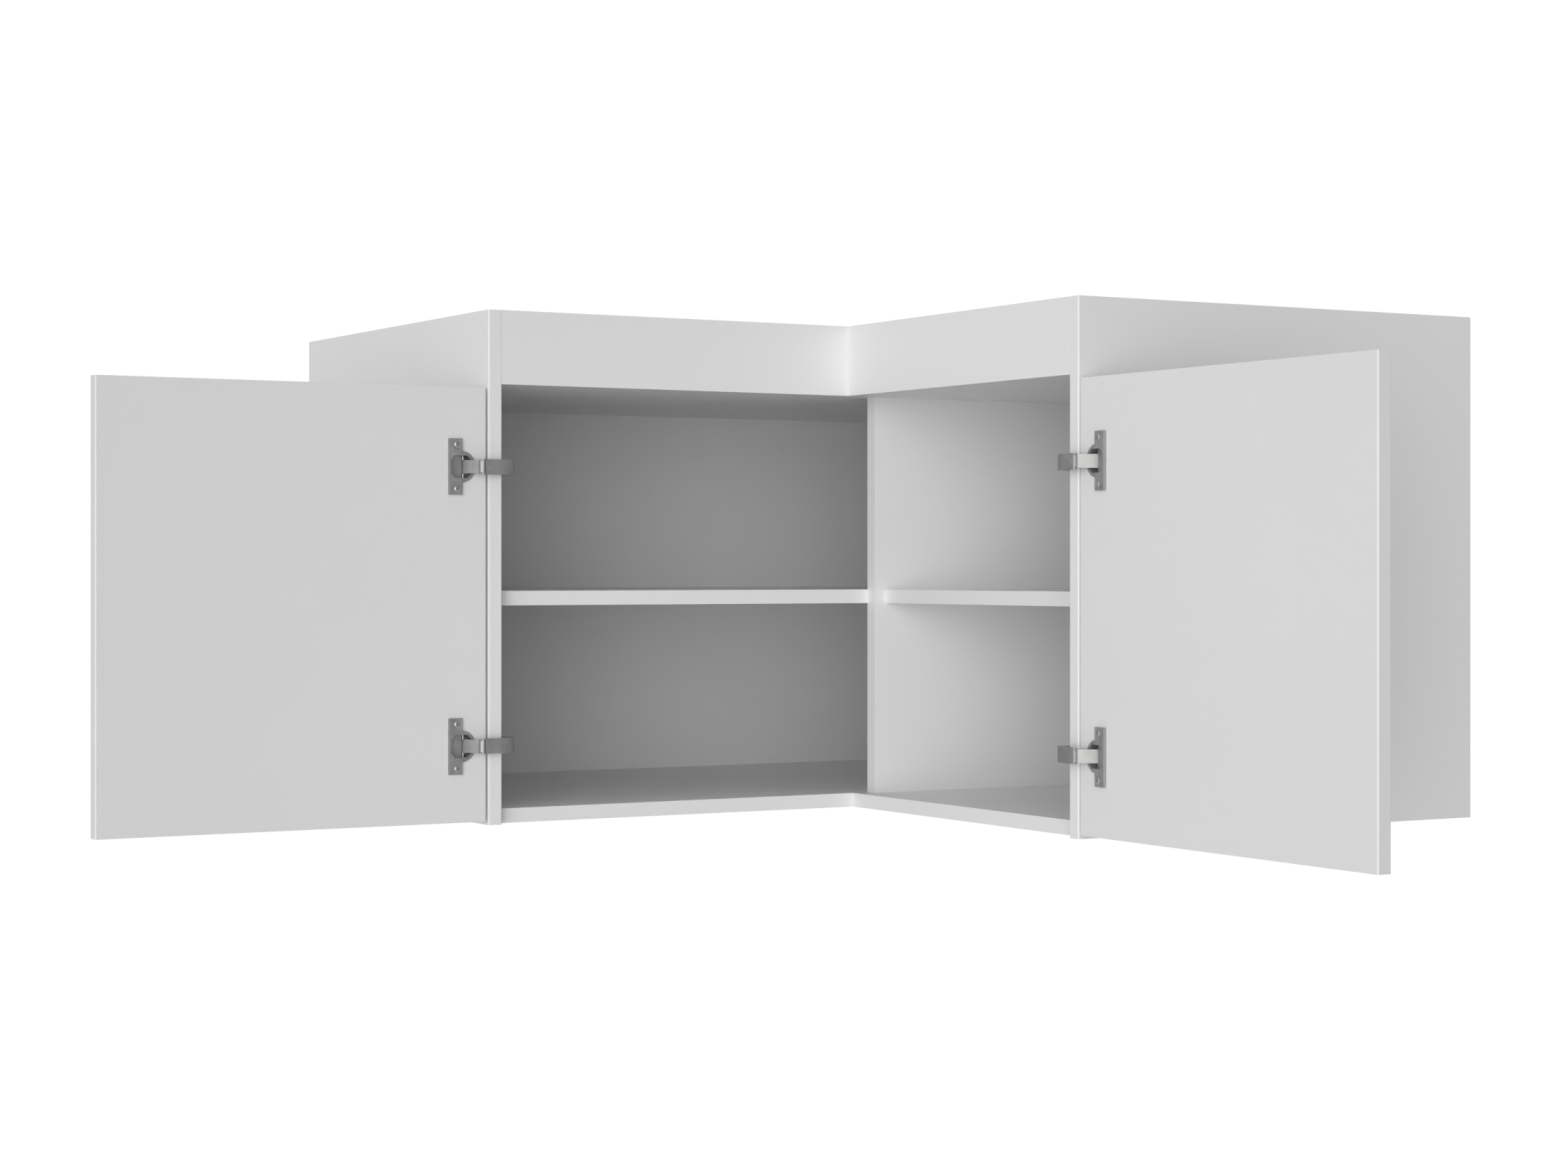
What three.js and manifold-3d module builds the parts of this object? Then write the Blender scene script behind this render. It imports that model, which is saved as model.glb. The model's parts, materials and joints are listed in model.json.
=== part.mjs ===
// Corner hanging wall cabinet: two equal wings, two doors on wide-angle concealed hinges.
//
// Units are millimetres, +Z is up. The origin is on the underside, at the centre of the square
// where the two wings cross, so both walls are WALL away: one at +Y behind the left wing, one at
// +X behind the right wing. At rest both doors stand open by half a turn.

import * as THREE from 'three';
import * as BufferGeometryUtils from 'three/addons/utils/BufferGeometryUtils.js';
import Module from 'manifold-3d';

// ---------------------------------------------------------------- driving dimensions

const BOARD = 16; // thickness of every laminated board
const DEPTH = 540; // depth of a wing, wall to front
const OPENING = 442; // clear width of each door opening
const HEIGHT = 562;
const FASCIA = 81; // height of the board above a door
const FLOOR_SETBACK = 18; // bottom panel's front edge behind the front plane

const BACK = 3; // fibreboard backs
const BACK_INSET = 7; // air between a back and its wall
const GROOVE = 5; // depth of the grooves that hold the backs
const GROOVE_SLACK = 0.1;
const POST = 20; // square post where the two backs meet

const PARTITION_INSET = 6; // partition's face behind the left front plane
const PARTITION_SETBACK = 40; // partition's end behind the right front plane
const SHELF_TOP = 255;
const RIGHT_SHELF_SETBACK = 56;
const DOWEL_RADIUS = 4;
const DOWEL_LENGTH = 30;
const DOWEL_IN_BOARD = 8; // how far a dowel enters the upright board
const DOWEL_SLACK = 0.2;

const DOOR_BOTTOM = 4;
const DOOR_HEIGHT = 472.5;
const LEFT_DOOR_WIDTH = 434;
const RIGHT_DOOR_WIDTH = 456.5;
const DOOR_GAP = 2.7; // between a door's hinge edge and its side panel
const ARRIS = 1.2; // flat taken off upright edges beside the hinges
const HINGE_HEIGHTS = { lower: 87, upper: 390 };

const HANGER_HEIGHT = 46;
const HANGER_DEPTH = 42;
const HANGER_THICKNESS = 14;

// ---------------------------------------------------------------- derived places

const WALL = DEPTH / 2; // walls at x = WALL and y = WALL
const FRONT = -DEPTH / 2; // front planes at x = FRONT and y = FRONT
const INNER = FRONT - OPENING; // inner face of each side panel
const OUTER = INNER - BOARD; // outer face of each side panel
const CEILING = HEIGHT - FASCIA; // underside of the top panel
const BACK_FACE = WALL - BACK_INSET - BACK;
const FASCIA_REAR = FRONT + BOARD;
const PARTITION_FACE = FRONT + PARTITION_INSET;
const PARTITION_REAR = PARTITION_FACE + BOARD;
const SHELF_MIDDLE = SHELF_TOP - BOARD / 2;

// ---------------------------------------------------------------- materials

const white = { color: 0xf1f1f0, roughness: 0.42, metalness: 0 };
const backing = { color: 0xe6e6e6, roughness: 0.6, metalness: 0 };
const beech = { color: 0xc9a577, roughness: 0.7, metalness: 0 };
const nickel = { color: 0xb9b9b7, roughness: 0.28, metalness: 1 };
const steel = { color: 0x9b9c9d, roughness: 0.38, metalness: 1 };

// ---------------------------------------------------------------- solids

const wasm = await Module();
wasm.setup();

function toSolid(geometry) {
  const bare = geometry.index ? geometry.toNonIndexed() : geometry.clone();
  bare.deleteAttribute('normal');
  bare.deleteAttribute('uv');
  const merged = BufferGeometryUtils.mergeVertices(bare, 1e-4);
  return new wasm.Manifold(new wasm.Mesh({
    numProp: 3,
    vertProperties: new Float32Array(merged.attributes.position.array),
    triVerts: new Uint32Array(merged.index.array),
  }));
}

function toGeometry(solid) {
  const mesh = solid.getMesh();
  const geometry = new THREE.BufferGeometry();
  geometry.setAttribute('position', new THREE.BufferAttribute(mesh.vertProperties, 3));
  geometry.setIndex(new THREE.BufferAttribute(mesh.triVerts, 1));
  geometry.computeVertexNormals();
  return geometry;
}

/** The first geometry joined with `added`, then cut by `removed`. */
function carve(geometry, added, removed) {
  let solid = toSolid(geometry);
  for (const piece of added) {
    solid = solid.add(toSolid(piece));
  }
  for (const piece of removed) {
    solid = solid.subtract(toSolid(piece));
  }
  return toGeometry(solid);
}

/** A box from its lowest to its highest corner. */
function box(low, high) {
  const size = high.map((value, axis) => value - low[axis]);
  const middle = high.map((value, axis) => (value + low[axis]) / 2);
  return new THREE.BoxGeometry(...size).translate(...middle);
}

/** An upright prism on a plan outline of [x, y] points. */
function prism(points, bottom, top) {
  const shape = new THREE.Shape(points.map(([x, y]) => new THREE.Vector2(x, y)));
  const options = { depth: top - bottom, bevelEnabled: false };
  return new THREE.ExtrudeGeometry(shape, options).translate(0, 0, bottom);
}

/** A rod of `sides` flats centred on a point, along the axis named 'x', 'y' or 'z'. */
function rod(axis, centre, radius, length, sides = 16, farRadius = radius) {
  const geometry = new THREE.CylinderGeometry(farRadius, radius, length, sides);
  if (axis === 'x') {
    geometry.rotateZ(-Math.PI / 2);
  }
  if (axis === 'z') {
    geometry.rotateX(Math.PI / 2);
  }
  return geometry.translate(...centre);
}

/** A rectangle in plan whose upright edges at the chosen corners lose a flat. */
function plan(low, high, corners = []) {
  const [x0, y0] = low;
  const [x1, y1] = high;
  const cut = (name) => (corners.includes(name) ? ARRIS : 0);
  const points = [
    [x0 + cut('ll'), y0], [x1 - cut('hl'), y0],
    [x1, y0 + cut('hl')], [x1, y1 - cut('hh')],
    [x1 - cut('hh'), y1], [x0 + cut('lh'), y1],
    [x0, y1 - cut('lh')], [x0, y0 + cut('ll')],
  ];
  return points.filter((p, i) => {
    const next = points[(i + 1) % points.length];
    return p[0] !== next[0] || p[1] !== next[1];
  });
}

const cabinet = new THREE.Group();

function addPiece(parent, name, geometry, finish) {
  const mesh = new THREE.Mesh(geometry, new THREE.MeshStandardMaterial(finish));
  mesh.name = name;
  parent.add(mesh);
}

// ---------------------------------------------------------------- dowels

// Each entry: the point on the joint between shelf and upright, and the axis of the dowel with
// the sign that points into the upright board.
const DOWELS = {
  left_shelf: [
    { at: [INNER, -190], axis: 'x', into: -1 },
    { at: [INNER, 190], axis: 'x', into: -1 },
    { at: [-110, PARTITION_REAR], axis: 'y', into: -1 },
    { at: [150, PARTITION_REAR], axis: 'y', into: -1 },
  ],
  right_shelf: [
    { at: [-160, INNER], axis: 'y', into: -1 },
    { at: [200, INNER], axis: 'y', into: -1 },
    { at: [-160, PARTITION_FACE], axis: 'y', into: 1 },
    { at: [200, PARTITION_FACE], axis: 'y', into: 1 },
  ],
};

function dowelRod({ at, axis, into }, radius, extra) {
  const shift = into * (DOWEL_IN_BOARD - DOWEL_LENGTH / 2);
  const centre = [at[0], at[1], SHELF_MIDDLE];
  centre[axis === 'x' ? 0 : 1] += shift;
  return rod(axis, centre, radius, DOWEL_LENGTH + 2 * extra, 12);
}

const dowelHole = (dowel) => dowelRod(dowel, DOWEL_RADIUS + DOWEL_SLACK, DOWEL_SLACK);

function dowelHoles(shelf, test = () => true) {
  return DOWELS[shelf].filter(test).map(dowelHole);
}

// ---------------------------------------------------------------- carcass

/** The slots, as deep as GROOVE below and above, that hold the left and the right back. */
const backSlots = [
  box([INNER - GROOVE, BACK_FACE - GROOVE_SLACK, BOARD - GROOVE],
    [WALL - BACK_INSET + GROOVE_SLACK, WALL - BACK_INSET + GROOVE_SLACK, CEILING + GROOVE]),
  box([BACK_FACE - GROOVE_SLACK, INNER - GROOVE, BOARD - GROOVE],
    [WALL - BACK_INSET + GROOVE_SLACK, WALL - BACK_INSET + GROOVE_SLACK, CEILING + GROOVE]),
];

/** An L-shaped board whose front edges stand `setback` behind the front planes. */
function cornerBoard(setback, bottom) {
  const edge = FRONT + setback;
  const outline = [
    [INNER, edge], [edge, edge], [edge, INNER], [WALL, INNER], [WALL, WALL], [INNER, WALL],
  ];
  return carve(prism(outline, bottom, bottom + BOARD), [], backSlots);
}

function addCarcass() {
  const leftSide = prism(plan([OUTER, FRONT], [INNER, WALL], ['ll', 'hl']), 0, HEIGHT);
  const rightSide = prism(plan([FRONT, OUTER], [WALL, INNER], ['ll', 'lh']), 0, HEIGHT);
  const leftHoles = dowelHoles('left_shelf', ({ axis }) => axis === 'x');
  const rightHoles = dowelHoles('right_shelf', ({ into }) => into < 0);
  addPiece(cabinet, 'left_side_panel', carve(leftSide, [], [...leftHoles, backSlots[0]]), white);
  addPiece(cabinet, 'right_side_panel', carve(rightSide, [], [...rightHoles, backSlots[1]]), white);
  addPiece(cabinet, 'bottom_panel', cornerBoard(FLOOR_SETBACK, 0), white);
  addPiece(cabinet, 'top_panel', cornerBoard(BOARD, CEILING), white);

  addPiece(cabinet, 'left_fascia',
    box([INNER, FRONT, CEILING], [FASCIA_REAR, FASCIA_REAR, HEIGHT]), white);
  addPiece(cabinet, 'right_fascia',
    box([FRONT, INNER, CEILING], [FASCIA_REAR, FRONT, HEIGHT]), white);

  const partition = box([FRONT + PARTITION_SETBACK, PARTITION_FACE, BOARD],
    [BACK_FACE, PARTITION_REAR, CEILING]);
  const partitionHoles = [
    ...dowelHoles('left_shelf', ({ axis }) => axis === 'y'),
    ...dowelHoles('right_shelf', ({ into }) => into > 0),
  ];
  addPiece(cabinet, 'partition', carve(partition, [], partitionHoles), white);

  const tongue = GROOVE - 1;
  const backEdge = INNER - tongue;
  const backLow = BOARD - tongue;
  const backHigh = CEILING + tongue;
  addPiece(cabinet, 'left_back',
    box([backEdge, BACK_FACE, backLow], [BACK_FACE + BACK, BACK_FACE + BACK, backHigh]), backing);
  addPiece(cabinet, 'right_back',
    box([BACK_FACE, backEdge, backLow], [BACK_FACE + BACK, BACK_FACE, backHigh]), backing);
  addPiece(cabinet, 'corner_post',
    box([BACK_FACE - POST, BACK_FACE - POST, BOARD], [BACK_FACE, BACK_FACE, CEILING]), white);
}

function addShelves() {
  const bottom = SHELF_TOP - BOARD;
  const notch = BACK_FACE - POST;
  const leftOutline = [
    [INNER, PARTITION_REAR], [BACK_FACE, PARTITION_REAR], [BACK_FACE, notch],
    [notch, notch], [notch, BACK_FACE], [INNER, BACK_FACE],
  ];
  const left = prism(leftOutline, bottom, SHELF_TOP);
  const right = box([FRONT + RIGHT_SHELF_SETBACK, INNER, bottom],
    [BACK_FACE, PARTITION_FACE, SHELF_TOP]);
  addPiece(cabinet, 'left_shelf', carve(left, [], dowelHoles('left_shelf')), white);
  addPiece(cabinet, 'right_shelf', carve(right, [], dowelHoles('right_shelf')), white);
  for (const [shelf, dowels] of Object.entries(DOWELS)) {
    dowels.forEach((dowel, i) => {
      addPiece(cabinet, `${shelf}_dowel_${i + 1}`, dowelRod(dowel, DOWEL_RADIUS, 0), beech);
    });
  }
}

// ---------------------------------------------------------------- hangers

/** A suspension bracket on the inside of a side panel, above the top panel, at the wall. */
function addHangers() {
  const bottom = CEILING + BOARD + 6;
  const top = bottom + HANGER_HEIGHT;
  const near = WALL - HANGER_DEPTH;
  const hookRoom = 3;
  const shell = 2;
  const width = HANGER_THICKNESS;
  for (const side of ['left', 'right']) {
    // Drawn on the left side panel; the right one is its mirror across the cabinet's diagonal.
    const place = ([x, y, z]) => (side === 'left' ? [x, y, z] : [y, x, z]);
    const body = box(place([INNER, near, bottom]), place([INNER + width, WALL - hookRoom, top]));
    const hollow = box(place([INNER + shell, near + shell, bottom + shell]),
      place([INNER + width - shell, WALL, top + 1]));
    const lipLow = place([INNER + 4, WALL - 14, top - 12]);
    const lipHigh = place([INNER + width - 4, WALL - hookRoom, top - 9]);
    const lip = box(lipLow, lipHigh);
    const tipLow = place([INNER + 4, WALL - hookRoom, top - 12]);
    const tipHigh = place([INNER + width - 4, WALL, top]);
    const bridgeLow = place([INNER + 1, WALL - 18, top - 12]);
    const bridgeHigh = place([INNER + width - 1, WALL - 13, top - 9]);
    const pieces = [lip, box(tipLow, tipHigh), box(bridgeLow, bridgeHigh)];
    const solid = carve(body, [], [hollow]);
    addPiece(cabinet, `${side}_hanger`, carve(solid, pieces, []), steel);
  }
}

// ---------------------------------------------------------------- doors and hinges

// Hinge geometry is drawn in the door's own plan axes: a runs from the side panel's outer face
// into the opening, b runs out of the front plane. HINGE_AXIS is the line the door turns about.
const HINGE_AXIS = [BOARD / 2, -BOARD / 2];
const KNUCKLE = [-12.9, 14.6]; // pivot between cup arm and outer arm
const LINK_ROOT = [42, -38]; // pivot of the link on the hinge body
const LINK = [KNUCKLE[0] - HINGE_AXIS[0], KNUCKLE[1] - HINGE_AXIS[1]];
const ELBOW = [LINK_ROOT[0] + LINK[0], LINK_ROOT[1] + LINK[1]]; // pivot of link and outer arm

const CUP = [-33.3, 0];
const CUP_RADIUS = 14.7;
const LIP_RADIUS = 17.2;
const LIP_THICK = 1.6;
const CUP_DEPTH = 12;
const CUP_SLACK = 0.2;
const CUP_PIN = [-28, -6];
const CUP_EYE_RADIUS = 2.6;
const FLANGE = { low: -48.2, high: -32.4, half: 30.5, thick: 3 };
const FLANGE_GAP = 0.2;
const SCREW = { at: -38, half: 24 };
const POCKET_HALF = 12.3; // half the width across the flats of the cup's octagonal pocket
const POCKET_CHAMFER = 4.8;
const POCKET_MOUTH = 6;
const POCKET_FLOOR = -10.8;
const POCKET_STEP = { until: -31, floor: -2.5 };

const PIN_RADIUS = 1.5;
const KNUCKLE_PIN_RADIUS = 1;
const PIN_SLACK = 0.08;
const ARM_HALF = 8.25; // half the height of the outer arm
const ARM_INSIDE = 6.6; // half the height between the outer arm's flanges
const ARM_WEB = 1.6;
const CUP_ARM_HALF = 7.3;
const KNUCKLE_HALF = 6.3;
const LINK_OUTSIDE = 6.3;
const LINK_INSIDE = 4.3;
const TONGUE_HALF = 4;
const KNUCKLE_RADIUS = 1.9;
const ELBOW_RADIUS = 3.6;
const ROOT_RADIUS = 4;

/** Points of an arc in plan, from one angle to another in degrees. */
function arc([a, b], radius, from, to, steps = 8) {
  return Array.from({ length: steps + 1 }, (_, i) => {
    const angle = THREE.MathUtils.degToRad(from + (to - from) * i / steps);
    return [a + radius * Math.cos(angle), b + radius * Math.sin(angle)];
  });
}

/** The outline of a bar with round ends between two points. */
function bar([a0, b0], [a1, b1], radius, steps = 8) {
  const angle = THREE.MathUtils.radToDeg(Math.atan2(b1 - b0, a1 - a0));
  return [
    ...arc([a1, b1], radius, angle - 90, angle + 90, steps),
    ...arc([a0, b0], radius, angle + 90, angle + 270, steps),
  ];
}

/** A quadratic curve between two points, without its first point. */
function bend(from, control, to, steps = 6) {
  const curve = new THREE.QuadraticBezierCurve(
    new THREE.Vector2(...from), new THREE.Vector2(...control), new THREE.Vector2(...to));
  return curve.getPoints(steps).slice(1).map(({ x, y }) => [x, y]);
}

/** The outer arm's visible face, from the knuckle round to the elbow, moved in by `inset`. */
function armFace(inset) {
  const start = [-10.1, 14.2 - inset];
  const level = [4, 14.2 - inset];
  const crest = [23.6 - inset * 0.4, 9.4 - inset * 0.9];
  const nose = [29.2 - inset, 1.5];
  const heel = [ELBOW[0] + ELBOW_RADIUS - inset, ELBOW[1] + 3];
  return [
    start, level,
    ...bend(level, [15, 13.6 - inset], crest, 5),
    ...bend(crest, [29 - inset, 6.6 - inset * 0.6], nose, 5),
    ...bend(nose, [29 - inset, -4], heel, 5),
  ];
}

function outerArm(plot) {
  const round = arc(ELBOW, ELBOW_RADIUS, 0, -180);
  const inside = [
    [17.6, -8], [20.8, 2], [17.5, 6.2], [8, 8.6], [-8, 9.4], [-10.1, 11],
  ];
  const ear = arc(KNUCKLE, KNUCKLE_RADIUS, 250, 60, 8);
  const side = plot([...armFace(0), ...round, ...inside, ...ear]);
  const face = armFace(ARM_WEB);
  const webEnd = face[face.length - 1][1];
  const channel = plot([
    ...face, [40, webEnd], [40, -30], [10, -30], [-20, 0], [-20, 20], [face[0][0], 20],
  ]);
  const holes = [
    rod('z', plot.point(ELBOW), PIN_RADIUS + PIN_SLACK, 3 * ARM_HALF),
    rod('z', plot.point(KNUCKLE), KNUCKLE_PIN_RADIUS + PIN_SLACK, 3 * ARM_HALF),
  ];
  return carve(prism(side, -ARM_HALF, ARM_HALF), [],
    [prism(channel, -ARM_INSIDE, ARM_INSIDE), ...holes]);
}

function cupArm(plot) {
  const strap = plot([
    ...arc(CUP_PIN, CUP_EYE_RADIUS, 150, 335, 8), [-22.2, 1.9],
    [-16, 10.2], [-14.6, 11.4], [-15.3, 13], [-15.6, 14.3], [-18.3, 14.3], [-19.4, 13], [-25.2, 2.5],
  ]);
  const eye = plot([...arc(KNUCKLE, KNUCKLE_RADIUS, -120, 150, 10), [-16.4, 14.2], [-16.4, 11]]);
  const holes = [
    rod('z', plot.point(KNUCKLE), KNUCKLE_PIN_RADIUS + PIN_SLACK, 3 * ARM_HALF),
    rod('z', plot.point(CUP_PIN), PIN_RADIUS + PIN_SLACK, 3 * ARM_HALF),
  ];
  return carve(prism(strap, -CUP_ARM_HALF, CUP_ARM_HALF),
    [prism(eye, -KNUCKLE_HALF, KNUCKLE_HALF)], holes);
}

function hingeLink(plot) {
  const cheeks = prism(plot(bar(LINK_ROOT, ELBOW, 3.2)), -LINK_OUTSIDE, LINK_OUTSIDE);
  const along = (share) => [LINK_ROOT[0] + LINK[0] * share, LINK_ROOT[1] + LINK[1] * share];
  const clearRoot = prism(plot(arc(LINK_ROOT, 8, 0, 345, 23)), -LINK_INSIDE, LINK_INSIDE);
  const clearElbow = prism(plot(arc(ELBOW, 5, 0, 345, 23)), -LINK_INSIDE, LINK_INSIDE);
  const thin = plot(bar(along(0.2), along(0.9), 1.3, 4));
  const bridge = prism(thin, -LINK_INSIDE - 1, LINK_INSIDE + 1);
  const hollow = prism(plot(bar(LINK_ROOT, ELBOW, 4)), -LINK_INSIDE, LINK_INSIDE);
  const holes = [
    rod('z', plot.point(LINK_ROOT), PIN_RADIUS + PIN_SLACK, 3 * LINK_OUTSIDE),
    rod('z', plot.point(ELBOW), PIN_RADIUS + PIN_SLACK, 3 * LINK_OUTSIDE),
  ];
  const open = carve(cheeks, [], [hollow]);
  const web = carve(bridge, [], [clearRoot, clearElbow]);
  return carve(web, [open], holes);
}

/** The hinge body: a block on the mounting plate, and a tongue with a riveted axle. */
function hingeBody(plot) {
  const block = plot([
    [19.2, -95], [27, -95], [29.5, -92], [29.5, -50], [27, -44], [21, -43], [19.2, -45],
  ]);
  const tongue = prism(plot(bar([27, -52], LINK_ROOT, ROOT_RADIUS)), -TONGUE_HALF, TONGUE_HALF);
  const axle = rod('z', plot.point(LINK_ROOT), PIN_RADIUS, 2 * LINK_OUTSIDE);
  const slot = prism(plot([[25, -90], [31, -90], [31, -56], [25, -56]]), -3.5, 3.5);
  return carve(prism(block, -8, 8), [tongue, axle], [slot]);
}

function mountingPlate(plot) {
  const rail = plot([[16.1, -92], [18.9, -92], [18.9, -44], [16.1, -44]]);
  const wings = plot([[16.1, -72], [18.2, -72], [18.2, -58], [16.1, -58]]);
  const holes = [-16, 16].map((z) => rod('x', [17, plot.point([0, -65])[1], z], 2.6, 8, 16));
  return carve(prism(rail, -7.5, 7.5), [prism(wings, -26, 26)], holes);
}

/** The cup: a round bowl let into the door, its flange plate and an octagonal pocket. */
function hingeCup(plot, hand) {
  const [a] = CUP;
  const across = (low, high, radius, sides, far) => {
    const middle = plot.point([a, (low + high) / 2]);
    return rod('y', middle, radius, high - low, sides, far);
  };
  const lipTop = FLANGE_GAP + LIP_THICK;
  const bowl = across(FLANGE_GAP - CUP_DEPTH, lipTop, CUP_RADIUS, 36);
  const behind = box([a - 2 * LIP_RADIUS, -CUP_DEPTH, -LIP_RADIUS - 1],
    [a, CUP_DEPTH, LIP_RADIUS + 1]);
  const lip = carve(across(FLANGE_GAP, lipTop, LIP_RADIUS, 48), [], [behind]);
  const flange = prism(plot([
    [FLANGE.low, FLANGE_GAP], [FLANGE.high, FLANGE_GAP],
    [FLANGE.high, FLANGE_GAP + FLANGE.thick], [FLANGE.low, FLANGE_GAP + FLANGE.thick],
  ]), -FLANGE.half, FLANGE.half);
  const flat = POCKET_HALF - POCKET_CHAMFER;
  const quarter = [[POCKET_HALF, flat], [flat, POCKET_HALF]];
  const octagon = [
    ...quarter, ...quarter.map(([u, z]) => [-z, u]),
    ...quarter.map(([u, z]) => [-u, -z]), ...quarter.map(([u, z]) => [z, -u]),
  ];
  const pocketTop = Math.max(hand * POCKET_FLOOR, hand * POCKET_MOUTH);
  const pocket = prism(octagon, 0, POCKET_MOUTH - POCKET_FLOOR).rotateX(Math.PI / 2)
    .translate(a, pocketTop, 0);
  const stepEnds = [hand * POCKET_STEP.floor, hand * 2 * POCKET_FLOOR];
  const step = box([a - 2 * POCKET_HALF, Math.min(...stepEnds), -2 * POCKET_HALF],
    [POCKET_STEP.until, Math.max(...stepEnds), 2 * POCKET_HALF]);
  const recess = carve(pocket, [], [step]);
  const sinks = [-SCREW.half, SCREW.half].map((z) => {
    const [x, y] = plot.point([SCREW.at, 2.4]);
    const [near, far] = hand > 0 ? [1.6, 4] : [4, 1.6];
    return rod('y', [x, y, z], near, 2, 16, far);
  });
  const pinHole = rod('z', plot.point(CUP_PIN), PIN_RADIUS + PIN_SLACK, 2 * 13.2);
  return carve(bowl, [flange, lip], [recess, ...sinks, pinHole]);
}

/** Everything of one hinge, in a group that already stands at the hinge. */
function addHinge(parent, name, hand) {
  const plot = (points) => points.map(([a, b]) => [a, hand * b]);
  plot.point = ([a, b]) => [a, hand * b, 0];
  addPiece(parent, `${name}_cup`, hingeCup(plot, hand), nickel);
  addPiece(parent, `${name}_cup_arm`, cupArm(plot), nickel);
  addPiece(parent, `${name}_outer_arm`, outerArm(plot), nickel);
  addPiece(parent, `${name}_link`, hingeLink(plot), steel);
  addPiece(parent, `${name}_body`, hingeBody(plot), nickel);
  addPiece(parent, `${name}_mounting_plate`, mountingPlate(plot), nickel);
  addPiece(parent, `${name}_cup_pin`,
    rod('z', plot.point(CUP_PIN), PIN_RADIUS, 26), steel);
  addPiece(parent, `${name}_elbow_pin`,
    rod('z', plot.point(ELBOW), PIN_RADIUS, 2 * ARM_HALF), steel);
  addPiece(parent, `${name}_knuckle_pin`,
    rod('z', plot.point(KNUCKLE), KNUCKLE_PIN_RADIUS, 2 * ARM_HALF + 1.4), steel);
}

/** One door with its cup bores and its two hinges, on the side panel of its wing. */
function addDoor(side, width) {
  const hand = side === 'left' ? -1 : 1;
  const wing = new THREE.Group();
  wing.position.set(...(side === 'left' ? [OUTER, FRONT, 0] : [FRONT, OUTER, 0]));
  wing.rotation.z = side === 'left' ? 0 : Math.PI / 2;
  cabinet.add(wing);

  const inner = 0;
  const outer = -hand * BOARD;
  const low = [-DOOR_GAP - width, Math.min(inner, outer)];
  const high = [-DOOR_GAP, Math.max(inner, outer)];
  const slab = prism(plan(low, high, ['ll', 'hl', 'lh', 'hh']),
    DOOR_BOTTOM, DOOR_BOTTOM + DOOR_HEIGHT);
  const boreDepth = CUP_DEPTH + CUP_SLACK;
  const bores = Object.values(HINGE_HEIGHTS).map((z) => rod('y',
    [CUP[0], hand * (1 - boreDepth) / 2, z], CUP_RADIUS + CUP_SLACK, boreDepth + 1, 36));
  addPiece(wing, `${side}_door`, carve(slab, [], bores), white);

  for (const [level, height] of Object.entries(HINGE_HEIGHTS)) {
    const stand = new THREE.Group();
    stand.position.z = height;
    wing.add(stand);
    addHinge(stand, `${side}_${level}_hinge`, hand);
  }
}

addCarcass();
addShelves();
addHangers();
addDoor('left', LEFT_DOOR_WIDTH);
addDoor('right', RIGHT_DOOR_WIDTH);

export default cabinet;
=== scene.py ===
import itertools
import json
import math

import bmesh
import bpy
from mathutils import Matrix, Vector


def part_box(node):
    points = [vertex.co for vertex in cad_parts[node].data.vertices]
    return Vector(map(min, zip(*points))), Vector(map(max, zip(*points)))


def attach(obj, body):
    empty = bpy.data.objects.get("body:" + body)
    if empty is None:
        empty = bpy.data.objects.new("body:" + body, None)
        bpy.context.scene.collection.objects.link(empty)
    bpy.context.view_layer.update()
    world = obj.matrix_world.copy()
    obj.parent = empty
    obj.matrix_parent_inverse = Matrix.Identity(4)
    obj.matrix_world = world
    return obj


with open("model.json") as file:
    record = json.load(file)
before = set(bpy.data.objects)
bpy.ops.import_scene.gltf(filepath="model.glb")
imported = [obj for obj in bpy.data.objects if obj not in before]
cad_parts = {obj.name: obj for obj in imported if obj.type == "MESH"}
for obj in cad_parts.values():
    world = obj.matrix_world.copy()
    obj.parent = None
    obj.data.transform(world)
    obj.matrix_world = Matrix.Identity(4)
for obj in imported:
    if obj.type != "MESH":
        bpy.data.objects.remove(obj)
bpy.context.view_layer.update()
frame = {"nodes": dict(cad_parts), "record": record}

NODES = frame["nodes"]
SLOT_OF = {part["node"]: part["material_slot"] for part in frame["record"]["subparts"]}

MM = 0.001


# ---------------------------------------------------------------- camera and light

SENSOR = 36.0
LENS = 68.13
CAMERA_PLACE = (-2.06794, -3.22904, 0.27928)
CAMERA_YAW = -30.0458
CAMERA_SHIFT_Y = -0.0122
CAMERA_CLIP = (0.05, 60.0)

SEEN_WHITE = 1.02
AMBIENT = 0.14
# Each lobe of light is (direction it comes from, added strength, how narrow it is).
LOBES = [
    ((0.7, 0.7, 0.25), 0.48, 2.0),
    ((-1.0, 0.0, 0.1), 0.59, 2.0),
    ((-0.6, -0.75, 0.05), 1.14, 10.0),
    ((-0.58, -0.78, 0.05), 4.45, 22.0),
    ((0.0, 0.0, 1.0), 1.7, 20.0),
]


def add_camera():
    data = bpy.data.cameras.new("camera")
    data.sensor_width = SENSOR
    data.lens = LENS
    data.shift_y = CAMERA_SHIFT_Y
    data.clip_start, data.clip_end = CAMERA_CLIP
    camera = bpy.data.objects.new("camera", data)
    camera.location = CAMERA_PLACE
    camera.rotation_euler = (math.radians(90), 0, math.radians(CAMERA_YAW))
    bpy.context.scene.collection.objects.link(camera)
    bpy.context.scene.camera = camera


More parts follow.
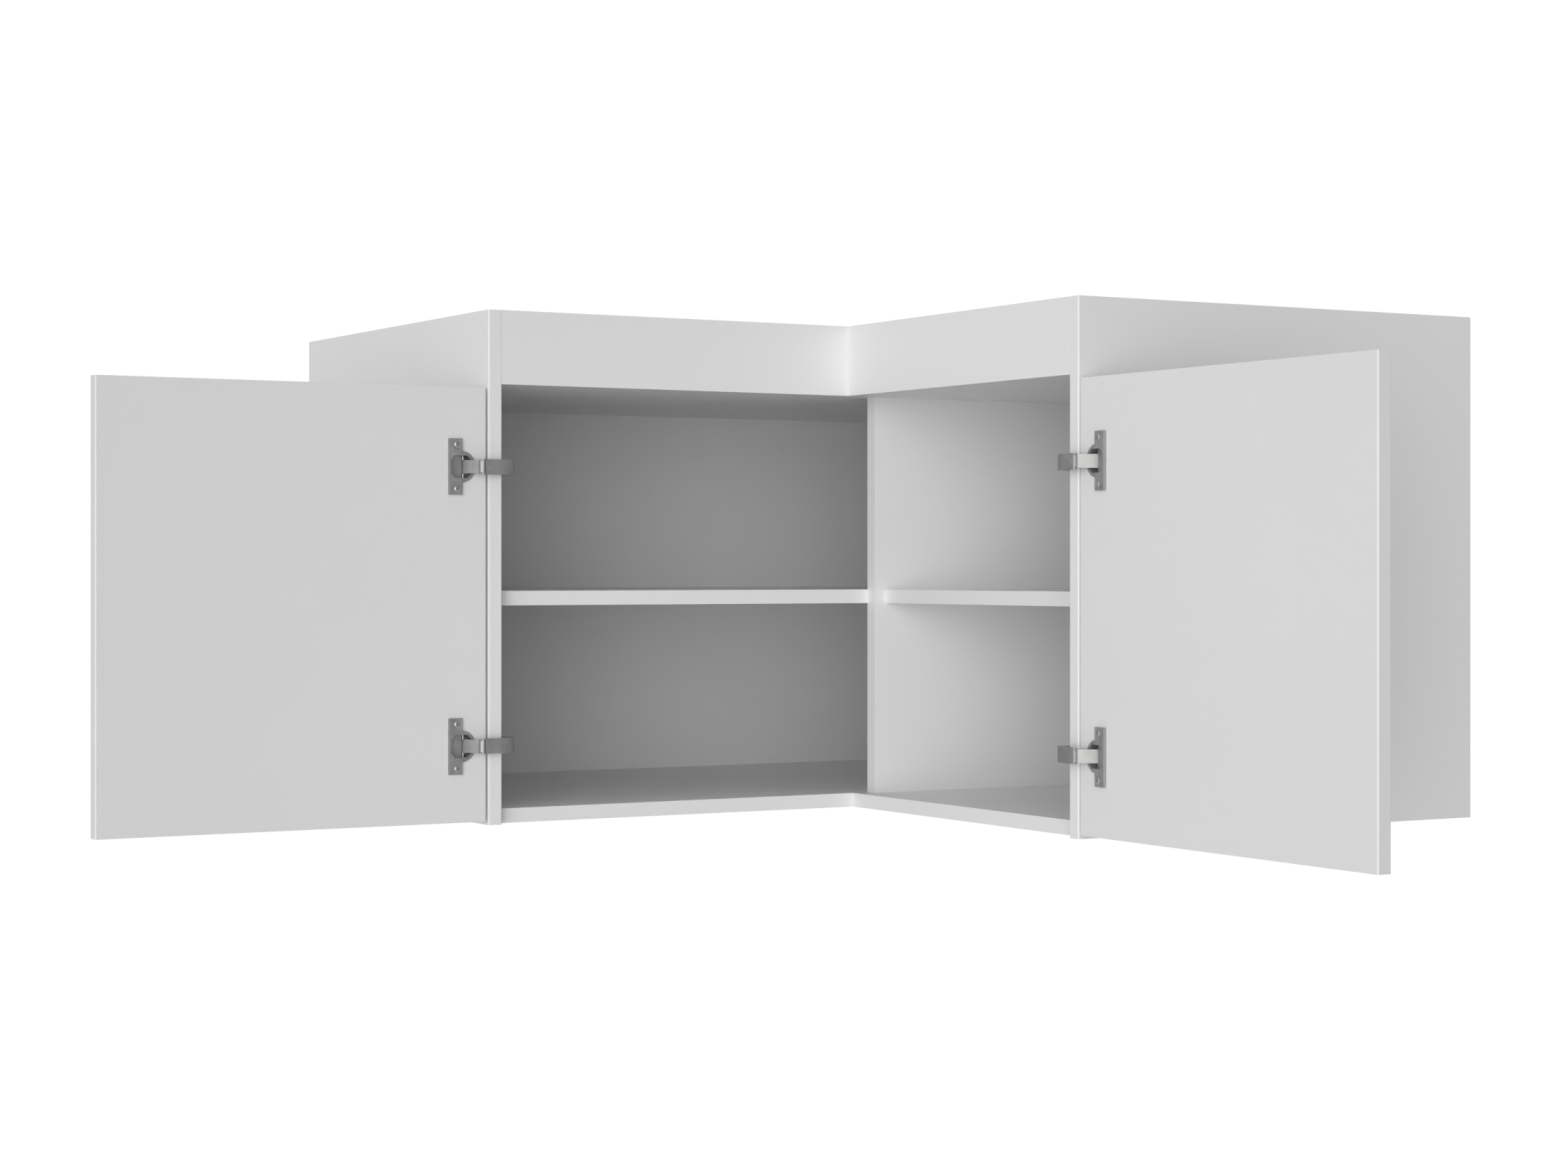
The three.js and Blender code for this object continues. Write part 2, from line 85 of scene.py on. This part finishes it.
def add_world():
    """A white surround with a few brighter soft lobes; the camera sees it as plain white."""
    world = bpy.data.worlds.new("studio")
    bpy.context.scene.world = world
    world.use_nodes = True
    tree = world.node_tree
    tree.nodes.clear()
    direction = tree.nodes.new("ShaderNodeTexCoord").outputs["Generated"]

    def math_node(operation, *values):
        made = tree.nodes.new("ShaderNodeMath")
        made.operation = operation
        for socket, value in zip(made.inputs, values):
            if isinstance(value, bpy.types.NodeSocket):
                tree.links.new(value, socket)
            else:
                socket.default_value = value
        return made.outputs[0]

    total = AMBIENT
    for towards, added, narrow in LOBES:
        dot = tree.nodes.new("ShaderNodeVectorMath")
        dot.operation = "DOT_PRODUCT"
        dot.inputs[1].default_value = Vector(towards).normalized()
        tree.links.new(direction, dot.inputs[0])
        lobe = math_node("POWER", math_node("MAXIMUM", dot.outputs["Value"], 0.0), narrow)
        total = math_node("MULTIPLY_ADD", lobe, added, total)
    path = tree.nodes.new("ShaderNodeLightPath").outputs["Is Camera Ray"]
    strength = math_node("ADD", math_node("MULTIPLY", path, SEEN_WHITE),
                         math_node("MULTIPLY", math_node("SUBTRACT", 1.0, path), total))
    background = tree.nodes.new("ShaderNodeBackground")
    background.inputs["Color"].default_value = (1, 1, 1, 1)
    tree.links.new(strength, background.inputs["Strength"])
    output = tree.nodes.new("ShaderNodeOutputWorld")
    tree.links.new(background.outputs[0], output.inputs[0])


# ---------------------------------------------------------------- materials

BOARD_LEVEL = 0.86
DOOR_LEVEL = 0.825
BACKING_LEVEL = BOARD_LEVEL * 0.93
LAMINATE_IOR = 1.48
PLATING_METALLIC = 0.75
METALS = ("nickel", "zinc_steel", "pin_steel")
METAL_EDGE = 0.00035
WELD_WITHIN = 0.00001
SMOOTH_UNDER = math.radians(32)


class Shader:
    """A small node-tree writer around one Principled shader, in the object's own coordinates."""

    def __init__(self, name):
        self.material = bpy.data.materials.new(name)
        self.material.use_nodes = True
        self.tree = self.material.node_tree
        self.principled = self.tree.nodes["Principled BSDF"]
        self.place = self.tree.nodes.new("ShaderNodeTexCoord").outputs["Object"]

    def node(self, kind, **inputs):
        made = self.tree.nodes.new(kind)
        for name, value in inputs.items():
            socket = made.inputs[name.replace("_", " ")]
            if isinstance(value, bpy.types.NodeSocket):
                self.tree.links.new(value, socket)
            else:
                socket.default_value = value
        return made

    def stretch(self, scale):
        return self.node("ShaderNodeMapping", Vector=self.place, Scale=scale).outputs[0]

    def noise(self, scale, detail=3.0, vector=None, roughness=0.5):
        made = self.node("ShaderNodeTexNoise", Vector=vector or self.place,
                         Scale=scale, Detail=detail, Roughness=roughness)
        return made.outputs["Fac"]

    def spread(self, value, low, high, start=0.3, end=0.7):
        made = self.node("ShaderNodeMapRange", Value=value)
        numbers = {"From Min": start, "From Max": end, "To Min": low, "To Max": high}
        for name, number in numbers.items():
            made.inputs[name].default_value = number
        return made.outputs[0]

    def ramp(self, value, stops):
        made = self.node("ShaderNodeValToRGB", Fac=value)
        elements = made.color_ramp.elements
        for element, (position, colour) in zip(elements, (stops[0], stops[-1])):
            element.position, element.color = position, (*colour, 1)
        for position, colour in stops[1:-1]:
            elements.new(position).color = (*colour, 1)
        return made.outputs["Color"]

    def colour(self, socket):
        self.tree.links.new(socket, self.principled.inputs["Base Color"])

    def rough(self, socket):
        self.tree.links.new(socket, self.principled.inputs["Roughness"])

    def bump(self, height, strength, distance, under=None):
        made = self.node("ShaderNodeBump", Height=height, Strength=strength, Distance=distance)
        if under:
            self.tree.links.new(under, made.inputs["Normal"])
        self.tree.links.new(made.outputs[0], self.principled.inputs["Normal"])
        return made.outputs[0]

    def fixed(self, **values):
        for name, value in values.items():
            self.principled.inputs[name.replace("_", " ")].default_value = value


def grey(value, warm=0.0):
    return (value * (1 + warm), value, value * (1 - warm))


def laminate(name, level, pebble, gloss):
    """White melamine board: a fine pressed pebble, a barely uneven tone and sheen."""
    shader = Shader(name)
    cloud = shader.noise(2.6, 4)
    fleck = shader.noise(1400, 2)
    shader.colour(shader.ramp(cloud, [(0.3, grey(level * 0.985)), (0.7, grey(level * 1.01))]))
    shader.rough(shader.spread(shader.noise(22, 5), gloss - 0.04, gloss + 0.05))
    coarse = shader.bump(shader.noise(pebble, 3), 0.18, 0.00006)
    shader.bump(fleck, 0.06, 0.00003, coarse)
    shader.fixed(IOR=LAMINATE_IOR)
    return shader.material


def plated(name, level, warm, gloss, brush, streak):
    """Plated or drawn steel: rolling streaks, faint clouds of tarnish, uneven gloss."""
    shader = Shader(name)
    streaks = shader.noise(1.0, 4, shader.stretch(brush), 0.6)
    cloud = shader.noise(85, 4)
    mixed = shader.node("ShaderNodeMath", Value=streaks)
    mixed.operation = "MULTIPLY_ADD"
    mixed.inputs[1].default_value = 0.55
    shader.tree.links.new(cloud, mixed.inputs[2])
    shader.colour(shader.ramp(mixed.outputs[0], [
        (0.5, grey(level * 0.86, warm)), (0.75, grey(level, warm)), (1.0, grey(level * 1.1, warm)),
    ]))
    shader.rough(shader.spread(cloud, gloss - 0.05, gloss + 0.08))
    shader.bump(streaks, streak, 0.00004)
    shader.fixed(Metallic=PLATING_METALLIC)
    return shader.material


def beech(name):
    """Beech dowel: long pores along the grain over a warm figure."""
    shader = Shader(name)
    grain = shader.noise(1.0, 5, shader.stretch((180, 900, 900)), 0.65)
    shader.colour(shader.ramp(grain, [
        (0.3, (0.42, 0.26, 0.14)), (0.5, (0.60, 0.41, 0.25)), (0.75, (0.70, 0.52, 0.34)),
    ]))
    shader.rough(shader.spread(grain, 0.5, 0.72))
    shader.bump(grain, 0.3, 0.0002)
    return shader.material


MATERIALS = {
    "white_board": laminate("white_board", BOARD_LEVEL, 620, 0.42),
    "door_board": laminate("door_board", DOOR_LEVEL, 620, 0.40),
    "white_backing": laminate("white_backing", BACKING_LEVEL, 380, 0.60),
    "dowel_wood": beech("dowel_wood"),
    "nickel": plated("nickel", 0.42, 0.008, 0.52, (700, 700, 60), 0.12),
    "zinc_steel": plated("zinc_steel", 0.50, -0.01, 0.36, (90, 90, 900), 0.16),
    "pin_steel": plated("pin_steel", 0.50, 0.0, 0.30, (900, 900, 200), 0.10),
}


def smooth_shading():
    """A modifier's node group that shades every face smooth, so the CAD mesh stays untouched."""
    group = bpy.data.node_groups.new("smooth_shading", "GeometryNodeTree")
    for way in ("INPUT", "OUTPUT"):
        group.interface.new_socket("Geometry", in_out=way, socket_type="NodeSocketGeometry")
    smooth = group.nodes.new("GeometryNodeSetShadeSmooth")
    group.links.new(group.nodes.new("NodeGroupInput").outputs[0], smooth.inputs["Geometry"])
    group.links.new(smooth.outputs[0], group.nodes.new("NodeGroupOutput").inputs[0])
    return group


SMOOTH_SHADING = smooth_shading()


def soften(node):
    """Breaks a metal piece's sharp edges and smooths its curved faces, all by modifiers."""
    smooth = node.modifiers.new("smooth", "NODES")
    smooth.node_group = SMOOTH_SHADING
    weld = node.modifiers.new("weld", "WELD")
    weld.merge_threshold = WELD_WITHIN
    bevel = node.modifiers.new("edge", "BEVEL")
    bevel.width = METAL_EDGE
    bevel.segments = 1
    bevel.limit_method = "ANGLE"
    bevel.angle_limit = SMOOTH_UNDER
    split = node.modifiers.new("split", "EDGE_SPLIT")
    split.split_angle = SMOOTH_UNDER


def dress_nodes():
    for name, node in NODES.items():
        if SLOT_OF[name] in METALS:
            soften(node)
        for slot in node.material_slots:
            slot.material = MATERIALS[SLOT_OF[name]]


# ---------------------------------------------------------------- screws

# For each side: the direction from its side panel into its bay, and the way its front faces.
SIDES = {"left": ((1, 0, 0), (0, -1, 0)), "right": ((0, 1, 0), (-1, 0, 0))}
LEVELS = ("lower", "upper")

# Screws, in mm: (radius, height) profile, length of the cross's arms, depth of the cross.
CUP_SCREW = ([
    (0, 0.75), (1.9, 0.68), (3.1, 0.42), (3.75, 0.0), (3.8, -0.15),
    (1.55, -1.9), (1.5, -2.4), (0, -2.4),
], 2.1, 1.5)
PLATE_SCREW = ([
    (0, 1.5), (2.0, 1.4), (3.0, 1.0), (3.5, 0.3), (3.55, 0.02),
    (2.3, 0.0), (2.3, -3.0), (0, -3.0),
], 1.9, 1.3)
ADJUSTING_SCREW = ([(0, 0.1), (2.6, 0.1), (3.0, -0.3), (3.0, -3.2), (0, -3.2)], 2.0, 1.3)
ROUND_STEPS = 32
CROSS_WEB = 0.26  # half an arm's width, as a share of its length
CUTTER_RISE = 0.6  # how far the cutter stands above the head, in mm
RECESS_TAPER = 0.5  # size of the recess's floor, as a share of its top

# Where the screws sit on each hinge, in metres.
CUP_SCREW_HALF = 0.024
CUP_SCREW_IN = 0.0102
PLATE_SCREW_HALF = 0.016
PLATE_SCREW_FORWARD = 0.003
PLATE_RISE = 0.0021
BODY_RISE = 0.0094
ADJUSTERS = (0.014, 0.031)
TURNED_BY = (17, 48, 5, 71, 33, 62, 24, 80)  # degrees, taken in turn


def mesh_object(name, bm):
    mesh = bpy.data.meshes.new(name)
    bm.to_mesh(mesh)
    bm.free()
    made = bpy.data.objects.new(name, mesh)
    bpy.context.scene.collection.objects.link(made)
    return made


def cross_cutter(name, top, arm, depth):
    """A closed plus-shaped wedge, wide above the head and narrow at the recess's floor."""
    web = arm * CROSS_WEB
    plus = [(arm, -web), (arm, web), (web, web), (web, arm), (-web, arm), (-web, web),
            (-arm, web), (-arm, -web), (-web, -web), (-web, -arm), (web, -arm), (web, -web)]
    bm = bmesh.new()
    rings = []
    for height, share in ((top + CUTTER_RISE, 1.0), (top - depth, RECESS_TAPER)):
        rings.append([bm.verts.new((x * share * MM, y * share * MM, height * MM))
                      for x, y in plus])
    bm.faces.new(rings[0])
    bm.faces.new(rings[1])
    for i in range(len(plus)):
        j = (i + 1) % len(plus)
        bm.faces.new((rings[0][i], rings[0][j], rings[1][j], rings[1][i]))
    bmesh.ops.recalc_face_normals(bm, faces=bm.faces)
    return mesh_object(name, bm)


def turned(name, profile, arm, depth):
    """A screw turned from a (radius, height) profile in mm, with a tapered cross recess cut in."""
    bm = bmesh.new()
    rings = []
    for radius, height in profile:
        if radius == 0:
            rings.append([bm.verts.new((0, 0, height * MM))])
            continue
        angles = [2 * math.pi * i / ROUND_STEPS for i in range(ROUND_STEPS)]
        rings.append([bm.verts.new((radius * MM * math.cos(angle),
                                    radius * MM * math.sin(angle), height * MM))
                      for angle in angles])
    for upper, lower in zip(rings, rings[1:]):
        for i in range(ROUND_STEPS):
            j = (i + 1) % ROUND_STEPS
            corners = [upper[i % len(upper)], lower[i % len(lower)],
                       lower[j % len(lower)], upper[j % len(upper)]]
            bm.faces.new(dict.fromkeys(corners))
    bmesh.ops.recalc_face_normals(bm, faces=bm.faces)
    head = mesh_object(name, bm)

    cutter = cross_cutter(name + "_cutter", profile[0][1], arm, depth)
    cut = head.modifiers.new("cross", "BOOLEAN")
    cut.operation, cut.solver, cut.object = "DIFFERENCE", "EXACT", cutter
    bpy.context.view_layer.update()
    evaluated = head.evaluated_get(bpy.context.evaluated_depsgraph_get())
    mesh = bpy.data.meshes.new_from_object(evaluated)
    for made in (head, cutter):
        bpy.data.objects.remove(made)
    for polygon in mesh.polygons:
        polygon.use_smooth = True
    mesh.set_sharp_from_angle(angle=SMOOTH_UNDER)
    mesh.materials.clear()
    mesh.materials.append(MATERIALS["zinc_steel"])
    return mesh


def place_screw(name, mesh, place, outward, turn, body):
    """A screw whose head faces along outward, its cross turned by `turn` degrees."""
    screw = bpy.data.objects.new(name, mesh)
    bpy.context.scene.collection.objects.link(screw)
    facing = Vector(outward).to_track_quat("Z", "Y").to_matrix().to_4x4()
    spin = Matrix.Rotation(math.radians(turn), 4, "Z")
    screw.matrix_world = Matrix.Translation(place) @ facing @ spin
    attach(screw, body)


def add_screws():
    """Cup screws, mounting-plate screws and adjusting screws, placed from each node's own box."""
    cup_screw = turned("cup_screw", *CUP_SCREW)
    plate_screw = turned("plate_screw", *PLATE_SCREW)
    adjusting_screw = turned("adjusting_screw", *ADJUSTING_SCREW)
    turns = itertools.cycle(TURNED_BY)
    for side, (inward, outward) in SIDES.items():
        inward, outward = Vector(inward), Vector(outward)
        for level in LEVELS:
            hinge = f"{side}_{level}_hinge"
            low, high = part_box(f"{hinge}_cup")
            middle = (low.z + high.z) / 2
            edge = Vector((low.x, low.y, 0))
            for end, sign in (("low", -1), ("high", 1)):
                height = Vector((0, 0, middle + sign * CUP_SCREW_HALF))
                place_screw(f"{hinge}_cup_screw_{end}", cup_screw,
                            edge + inward * CUP_SCREW_IN + height,
                            outward, next(turns), f"{side}_door")

            low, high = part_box(f"{hinge}_mounting_plate")
            if side == "left":
                face = Vector((low.x + PLATE_RISE, (low.y + high.y) / 2, 0))
            else:
                face = Vector(((low.x + high.x) / 2, low.y + PLATE_RISE, 0))
            for end, sign in (("low", -1), ("high", 1)):
                height = Vector((0, 0, middle + sign * PLATE_SCREW_HALF))
                place_screw(f"{hinge}_plate_screw_{end}", plate_screw,
                            face + outward * PLATE_SCREW_FORWARD + height,
                            inward, next(turns), "cabinet")

            low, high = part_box(f"{hinge}_body")
            for number, back in enumerate(ADJUSTERS, start=1):
                if side == "left":
                    place = Vector((low.x + BODY_RISE, high.y - back, middle))
                else:
                    place = Vector((high.x - back, low.y + BODY_RISE, middle))
                place_screw(f"{hinge}_adjuster_{number}", adjusting_screw,
                            place, inward, next(turns), "cabinet")


# ---------------------------------------------------------------- floor

FLOOR_BELOW = 1.35
FLOOR_HALF = 2.8


def add_floor():
    """A plain pale floor well below the hanging cabinet."""
    mesh = bpy.data.meshes.new("floor")
    corners = [(x * FLOOR_HALF, y * FLOOR_HALF, -FLOOR_BELOW)
               for x, y in ((-1, -1), (1, -1), (1, 1), (-1, 1))]
    mesh.from_pydata(corners, [], [(0, 1, 2, 3)])
    mesh.materials.append(laminate("floor_paint", BOARD_LEVEL, 90, 0.7))
    floor = bpy.data.objects.new("floor", mesh)
    bpy.context.scene.collection.objects.link(floor)


dress_nodes()
add_screws()
add_camera()
add_world()
add_floor()
bpy.context.scene.view_settings.view_transform = "Standard"
